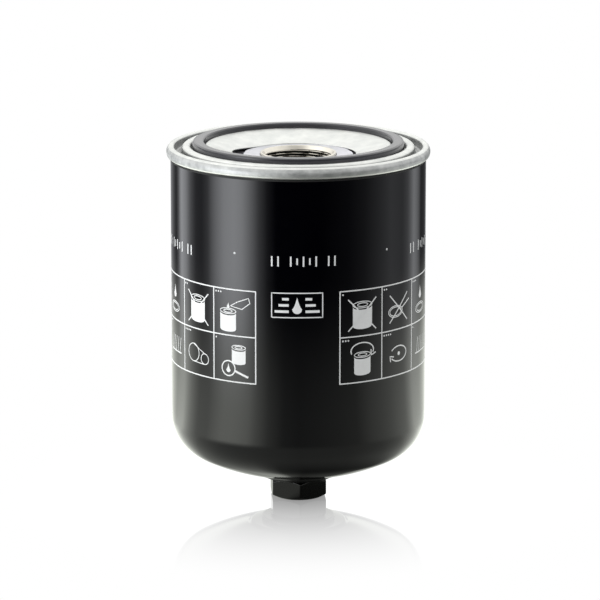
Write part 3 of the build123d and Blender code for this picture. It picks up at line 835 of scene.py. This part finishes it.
def drop(x, y, r):
    """Filled drop: a half circle below and a curve that narrows to a point above, 2.4 r high."""
    across = np.linspace(-r, r, 17)
    half = np.sqrt(np.clip(r * r - across**2, 0, None))
    between(x + across, y - half, y + 2.4 * r * (1 - np.abs(across) / r) ** 1.6)


print("a line 10 mm long is cut into", len(fill_in(np.array([(0.0, 0.0), (10.0, 0.0)]), 1.0)), "points")

# %% Symbols for the fitting steps
thin, medium = 0.42, 0.62


def filter_shape(x, y, filled=True, size=1.0):
    """A can seen from a little above: an open oval, and a body between two half ovals."""
    a, b, tall = 5.6 * size, 1.7 * size, 10.5 * size
    if filled:
        across = np.linspace(-a, a, 21)
        bow = b * np.sqrt(np.clip(1 - (across / a) ** 2, 0, None))
        between(x + across, y - tall / 2 - bow, y + tall / 2 - bow - 0.5)
    else:
        strip([(x - a, y + tall / 2), (x - a, y - tall / 2)], thin)
        strip([(x + a, y + tall / 2), (x + a, y - tall / 2)], thin)
        oval(x, y - tall / 2, a, b, thin, pi, 2 * pi)
    oval(x, y + tall / 2 + 0.4, a, b, thin)
    oval(x, y + tall / 2 + 0.4, a * 0.55, b * 0.55, thin)


def cross(x, y, half=7.6):
    """Two crossed lines, for what isn't done."""
    strip([(x - half, y - half), (x + half, y + half)], medium)
    strip([(x - half, y + half), (x + half, y - half)], medium)


def turn_arrow(x, y, r, start, end):
    """Part of a circle with an arrow head at its end."""
    oval(x, y, r, r * 0.62, medium, start, end)
    tip = np.array((x + r * cos(end), y + r * 0.62 * sin(end)))
    way = np.array((-r * sin(end), r * 0.62 * cos(end))) * np.sign(end - start)
    way /= np.linalg.norm(way)
    side = np.array((-way[1], way[0]))
    strip([tip - way * 0.6 + side * 1.7, tip + way * 1.8, tip - way * 0.6 - side * 1.7], medium)


def straight_arrow(x, y, length, up=1):
    """Arrow along the can's height."""
    strip([(x, y - up * length / 2), (x, y + up * length / 2)], medium)
    tip = y + up * length / 2
    strip([(x - 1.8, tip - up * 2.2), (x, tip), (x + 1.8, tip - up * 2.2)], medium)


def pips(x, y, count):
    """Row of small dots that numbers a step."""
    for k in range(count):
        dot(x + 1.5 * k, y, 0.45)


def symbol(kind, x, y):
    """Draws one of the step symbols about the middle of its field."""
    if kind == "keep round":
        filter_shape(x, y - 0.6)
        cross(x, y, 8.2)
    elif kind == "no strap":
        oval(x - 2.6, y - 1.6, 5.4, 3.0, thin)
        oval(x - 2.6, y - 1.6, 4.5, 2.3, thin)
        strip([(x + 2.4, y - 0.4), (x + 9.0, y + 3.4)], medium)
        cross(x, y, 7.2)
    elif kind == "oil the ring":
        oval(x - 1.2, y - 4.2, 6.6, 2.6, thin)
        oval(x - 1.2, y - 4.2, 5.0, 1.8, thin)
        drop(x - 1.2, y + 2.6, 2.0)
    elif kind == "fill":
        filter_shape(x - 3.6, y - 3.4, size=0.85)
        strip([(x - 2.0, y + 4.2), (x + 2.0, y + 6.6), (x + 8.2, y + 9.0), (x + 9.0, y + 6.4),
               (x + 4.6, y + 3.0), (x - 2.0, y + 4.2)], thin)
        drop(x - 3.4, y + 3.9, 0.8)
    elif kind == "screw on":
        filter_shape(x, y - 1.8, size=0.85)
        turn_arrow(x, y + 5.2, 6.6, radians(200), radians(-20))
    elif kind == "turn":
        turn_arrow(x, y, 6.4, radians(150), radians(-150))
        dot(x, y, 1.0)
    elif kind == "run":
        oval(x - 3.6, y, 4.6, 4.6, thin)
        oval(x + 5.4, y - 2.2, 2.8, 2.8, thin)
        strip([(x - 3.6, y + 4.6), (x + 5.4, y + 0.6)], thin)
        strip([(x - 3.6, y - 4.6), (x + 5.4, y - 5.0)], thin)
    elif kind == "look":
        filter_shape(x + 2.6, y + 2.8, size=0.7)
        oval(x - 3.4, y - 4.4, 3.9, 3.9, medium)
        drop(x - 3.4, y - 5.2, 1.3)
        strip([(x + 0.4, y - 5.4), (x + 8.0, y - 8.2)], 1.1)
    elif kind == "drain":
        strip([(x - 7, y - 3.4), (x - 5, y - 8.0), (x + 5, y - 8.0), (x + 7, y - 3.4)], medium)
        drop(x, y - 2.2, 1.5)
        straight_arrow(x, y + 5.2, 5.0, up=-1)
    elif kind == "lift":
        filter_shape(x - 2.4, y - 1.6, filled=False, size=0.85)
        straight_arrow(x + 6.8, y, 11.0)
    elif kind == "clean":
        strip([(x - 8, y - 3.5), (x + 8, y - 3.5)], medium)
        for k in range(5):
            strip([(x - 6 + 3 * k, y - 3.2), (x - 4.6 + 3 * k, y + 4.6)], thin)


print("lines of", thin, "and", medium, "mm")

# %% The band of steps
def print_band():
    """Frame of two rows and fifteen columns round the back, 18.6 to 340.9 degrees from the front."""
    first, last, columns = radians(18.6) * can_r, radians(340.9) * can_r, 15
    lines = (74.35, 98.3, 122.15)
    for height in lines:
        strip([(first - 0.25, height), (last + 0.25, height)], medium)
    width = (last - first) / columns
    for k in range(columns + 1):
        strip([(first + width * k, lines[0]), (first + width * k, lines[2])], medium)
    upper = ("keep round", "no strap", "oil the ring", "drain", "lift")
    lower = ("screw on", "turn", "clean", "run", "drain")
    for k in range(columns):
        middle = first + width * (k + 0.5)
        ahead, behind = upper[k % 5], lower[k % 5]
        if k == columns - 1:
            ahead, behind = "fill", "look"
        if k == columns - 2:
            ahead, behind = "keep round", "run"
        symbol(ahead, middle + 0.3, (lines[1] + lines[2]) / 2 - 0.8)
        symbol(behind, middle + 0.3, (lines[0] + lines[1]) / 2 - 0.8)
        pips(first + width * k + 1.6, lines[2] - 1.8, 1 + k % 4)
        pips(first + width * k + 1.6, lines[1] - 1.8, 1 + (k + 2) % 4)


print_band()
print("shapes with the band:", len(patches))

# %% The framed mark and the rows of plain marks
def print_marks():
    """A frame with a drop between two pairs of bars, and five rows of plain marks, evenly round the can."""
    left, right, bottom, upper = -13.5, 12.3, 109.6, 122.15
    strip([(left, bottom), (right, bottom), (right, upper), (left, upper), (left, bottom)], 0.55)
    middle, level = (left + right) / 2, (bottom + upper) / 2
    drop(middle, level - 1.9, 2.5)
    for side in (-1, 1):
        for k, reach in enumerate((7.2, 5.2, 3.4)):
            row = level - 3.2 + 3.2 * k
            strip([(middle + side * 4.2, row), (middle + side * (4.2 + reach), row)], 1.3)
    for turn_by in range(5):
        start = radians(72 * turn_by) * can_r - 13.4
        for k, tall in enumerate((5.2, 5.2, 0, 5.2, 3.4, 5.2, 3.4, 5.2, 0, 5.2, 5.2)):
            if tall:
                strip([(start + 3.2 * k, 138.4 - tall / 2), (start + 3.2 * k, 138.4 + tall / 2)], 0.8)
    for turn_by in range(5):
        dot(radians(-29.2 + 72 * turn_by) * can_r, 141.1, 0.55)


print_marks()
print("shapes with the marks:", len(patches))

# %% Wrapping the print onto the can
def wrapped(name, lift=0.012, film=0.03):
    """Film of ink: a flat position x along the can and height z goes to angle x / R from the front, -Y.

    Every patch is a strip of four-cornered faces, given an inner and an outer side and closed all round."""
    points, faces, count = [], [], 0
    for patch in patches:
        long = len(patch)
        half = long // 2
        along, over = patch[half, 0] - patch[half - 1, 0], patch[half, 1] - patch[half, 0]
        if along[0] * over[1] - along[1] * over[0] < 0:
            patch = patch[:, ::-1]
        angle = patch[..., 0] / can_r
        layers = [np.stack((r * np.sin(angle), -r * np.cos(angle), patch[..., 1]), axis=-1)
                  for r in (can_r + lift, can_r + lift + film)]
        ring = np.stack((layers[0][:, 0], layers[0][:, 1], layers[1][:, 1], layers[1][:, 0]), axis=1)
        points.append(ring.reshape(-1, 3))
        number = count + np.arange(long * 4).reshape(long, 4)
        nxt = np.roll(number, -1, 1)
        faces.append(np.stack((number[:-1], nxt[:-1], nxt[1:], number[1:]), axis=-1).reshape(-1, 4)[:, ::-1])
        faces.append(np.array((number[0], number[-1][::-1])))
        count += long * 4
    return new_mesh_object(name, np.concatenate(points), np.concatenate(faces), sharp=60)


ink = wrapped("can_print")
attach(ink, "filter_body")
dress(ink, "white_ink")
print("faces of the print:", len(ink.data.polygons))

# %% [markdown]
# ## Pieces kept from the measured model
# The plate, the valves and the element keep their measured shape. They only need their finish.

# %% Finishes for the kept pieces
kept = {entry["node"]: entry["material_slot"] for entry in frame["record"]["subparts"]}
for name, node in nodes.items():
    dress(node, kept[name])
print("finished", len(kept), "kept pieces")

# %% [markdown]
# ## Studio
# The filter stands on a glossy white table under soft light. The black paint shows mostly what it mirrors:
# a large soft box to the left, a thin strip of light behind it, and a dim room to the right. So the light
# is painted on the world's sphere, as brightness against direction. The table is bright to the eye and
# mirrors the filter faintly close to its foot.

# %% Brightness against the angle round the axis
brightest = 5.0


def turn_share(tree, split):
    """Angle round the axis from the front, -Y, with the right as plus: 0 at -180 degrees, 1 at +180."""
    turned = maths(tree, "ARCTAN2", split.outputs["X"], maths(tree, "MULTIPLY", split.outputs["Y"], -1.0))
    share = put(tree, "ShaderNodeMath", {0: turned, 1: 1 / (2 * pi), 2: 0.5}, operation="MULTIPLY_ADD")
    return share.outputs[0]


def ramp(tree, share, stops, tint):
    """Colour ramp through (angle, brightness) stops.

    A ramp's colours end at 1, so each is the brightness divided by the brightest, times the tint."""
    made = put(tree, "ShaderNodeValToRGB", {"Fac": share})
    marks = made.color_ramp.elements
    while len(marks) > 1:
        marks.remove(marks[0])
    for k, (angle, value) in enumerate(stops):
        mark = marks[0] if k == 0 else marks.new(angle / 360 + 0.5)
        mark.position = angle / 360 + 0.5
        mark.color = (*(value / brightest * part for part in tint), 1)
    return made.outputs["Color"]


print("ramps reach a brightness of", brightest)

# %% Light from all round
def paint_world():
    """Two ramps against the angle round the axis: one for level and downward directions, one for upward ones,
    mixed by the height of the direction. The eye itself sees plain white."""
    world = bpy.data.worlds.new("studio")
    bpy.context.scene.world = world
    world.use_nodes = True
    tree = world.node_tree
    tree.nodes.clear()
    place = put(tree, "ShaderNodeTexCoord")
    split = put(tree, "ShaderNodeSeparateXYZ", {"Vector": place.outputs["Generated"]})
    share = turn_share(tree, split)
    level = ramp(
        tree, share,
        [(-180, 0.4), (-165, 0.4), (-152, 0.2), (-144, 0.07), (-138, 0.4), (-131, 2.1), (-122, 1.9),
         (-114, 0.8), (-106, 0.28), (-97, 0.25), (-89, 0.6), (-80, 2.4), (-70, 4.2), (-60, 4.8),
         (-52, 4.3), (-44, 2.5), (-36, 0.8), (-28, 0.16), (-20, 0.0), (20, 0.0), (46, 0.05),
         (62, 0.14), (80, 0.38), (92, 0.55),
         (108, 0.34), (117, 0.5), (128, 1.25), (137, 0.6), (145, 0.07), (160, 0.07), (170, 0.3), (180, 0.4)],
        (0.97, 0.99, 1.03),
    )
    above = ramp(
        tree, share,
        [(-180, 1.3), (-140, 1.2), (-95, 1.6), (-60, 1.7), (-30, 0.8), (0, 0.5), (35, 0.7), (80, 1.1),
         (130, 1.2), (180, 1.3)],
        (1.0, 1.0, 0.985),
    )
    both = mixed(tree, soft_step(tree, split.outputs["Z"], -0.08, 0.28), level, above)
    room = put(tree, "ShaderNodeBackground", {"Color": both, "Strength": brightest})
    plain = put(tree, "ShaderNodeBackground", {"Color": (1, 1, 1, 1), "Strength": 1.0})
    eye = put(tree, "ShaderNodeLightPath")
    chosen = put(tree, "ShaderNodeMixShader",
                 {"Fac": eye.outputs["Is Camera Ray"], 1: room.outputs[0], 2: plain.outputs[0]})
    put(tree, "ShaderNodeOutputWorld", {"Surface": chosen.outputs[0]})


paint_world()
print("world", bpy.context.scene.world.name)

# %% The table
def table_finish():
    """To the eye: white, with a mirror layer that fades with the distance from the foot. From below: clear.

    To the filter: a disc as bright as the room's light on it, which ends softly half a metre out, so that
    the wall mirrors the room above it. Its rings, at the foot, close and far, are each a ramp of angles."""
    made = bpy.data.materials.new("white_table")
    made.use_nodes = True
    tree = made.node_tree
    tree.nodes.clear()
    place = put(tree, "ShaderNodeTexCoord")
    split = put(tree, "ShaderNodeSeparateXYZ", {"Vector": place.outputs["Object"]})
    across = put(tree, "ShaderNodeCombineXYZ", {"X": split.outputs["X"], "Y": split.outputs["Y"]})
    away = put(tree, "ShaderNodeVectorMath", {0: across.outputs[0]}, operation="LENGTH").outputs["Value"]
    near = put(tree, "ShaderNodeMapRange", {"Value": away, "From Min": 0.165, "From Max": 0.012})
    mirror = maths(tree, "MULTIPLY", maths(tree, "POWER", near.outputs[0], 2.0), 0.70)
    white = put(tree, "ShaderNodeEmission", {"Color": (1, 1, 1, 1), "Strength": 1.0})
    gloss = put(tree, "ShaderNodeBsdfGlossy", {"Color": (0.97, 0.98, 0.98, 1), "Roughness": 0.03})
    seen = put(tree, "ShaderNodeMixShader", {"Fac": mirror, 1: white.outputs[0], 2: gloss.outputs[0]})
    disc = soft_step(tree, away, 0.66, 0.26)
    share = turn_share(tree, split)
    tint = (0.97, 1.0, 0.92)
    far = ramp(
        tree, share,
        [(-180, 1.3), (-131, 1.3), (-115, 2.5), (-103, 1.6), (-92, 1.0), (-80, 1.15), (-72, 1.7), (-64, 2.2),
         (-56, 2.3), (-49, 2.2), (-41, 1.9), (-34, 1.2), (-24, 0.55), (-12, 0.23), (0, 0.17), (16, 0.21),
         (33, 0.27), (48, 0.34), (62, 0.66), (81, 0.93), (91, 1.1), (102, 1.15), (115, 1.95), (131, 1.3),
         (180, 1.3)],
        tint,
    )
    close = ramp(
        tree, share,
        [(-180, 2.0), (-125, 2.2), (-105, 1.6), (-85, 0.8), (-60, 0.55), (-30, 0.45), (0, 0.32), (35, 0.34),
         (65, 0.5), (88, 0.8), (105, 1.5), (125, 2.2), (180, 2.0)],
        tint,
    )
    # the ring at the foot glows less than the rings further out: painted shade round the filter's foot
    foot = ramp(
        tree, share,
        [(-180, 0.8), (-110, 0.7), (-80, 0.4), (-58, 0.6), (-32, 0.6), (-14, 0.12), (5, 0.05), (75, 0.08),
         (110, 0.7), (180, 0.8)],
        tint,
    )
    outer_two = mixed(tree, soft_step(tree, away, 0.13, 0.22), close, far)
    all_three = mixed(tree, soft_step(tree, away, 0.045, 0.085), foot, outer_two)
    dim = put(tree, "ShaderNodeEmission", {"Color": all_three, "Strength": brightest})
    clear = put(tree, "ShaderNodeBsdfTransparent")
    felt = put(tree, "ShaderNodeMixShader", {"Fac": disc, 1: clear.outputs[0], 2: dim.outputs[0]})
    path = put(tree, "ShaderNodeLightPath").outputs["Is Camera Ray"]
    pick = put(tree, "ShaderNodeMixShader", {"Fac": path, 1: felt.outputs[0], 2: seen.outputs[0]})
    under = put(tree, "ShaderNodeNewGeometry").outputs["Backfacing"]
    below = put(tree, "ShaderNodeMixShader", {"Fac": under, 1: pick.outputs[0], 2: clear.outputs[0]})
    put(tree, "ShaderNodeOutputMaterial", {"Surface": below.outputs[0]})
    return made


def table_top(size=6.0, steps=12):
    """Flat square grid at height zero."""
    line = np.linspace(-size / 2, size / 2, steps) / MM
    x, y = np.meshgrid(line, line, indexing="ij")
    points = np.stack((x, y, np.full_like(x, -0.02)), axis=-1).reshape(-1, 3)
    number = np.arange(steps * steps).reshape(steps, steps)
    corners = (number[:-1, :-1], number[1:, :-1], number[1:, 1:], number[:-1, 1:])
    faces = np.stack(corners, axis=-1).reshape(-1, 4)
    return new_mesh_object("table", points, faces)


table = table_top()
table.data.materials.append(table_finish())
print("table ready")

# %% The camera
def aim_camera(target=(0, 0, 0.0985), distance=2.1, rise=12.79):
    """Long lens, far away and a little above, so the can's sides stay almost parallel."""
    data = bpy.data.cameras.new("view")
    camera = bpy.data.objects.new("view", data)
    bpy.context.scene.collection.objects.link(camera)
    back, up = distance * cos(radians(rise)), distance * sin(radians(rise))
    camera.location = (target[0], target[1] - back, target[2] + up)
    camera.rotation_euler = (radians(90 - rise), 0, 0)
    data.sensor_width, data.lens = 36.0, 242.8
    data.shift_x, data.shift_y = 1.69 / 600, 10.35 / 600
    bpy.context.scene.camera = camera
    return camera


view = aim_camera()
bpy.context.scene.view_settings.view_transform = "Standard"
print("camera at", [round(c, 3) for c in view.location])
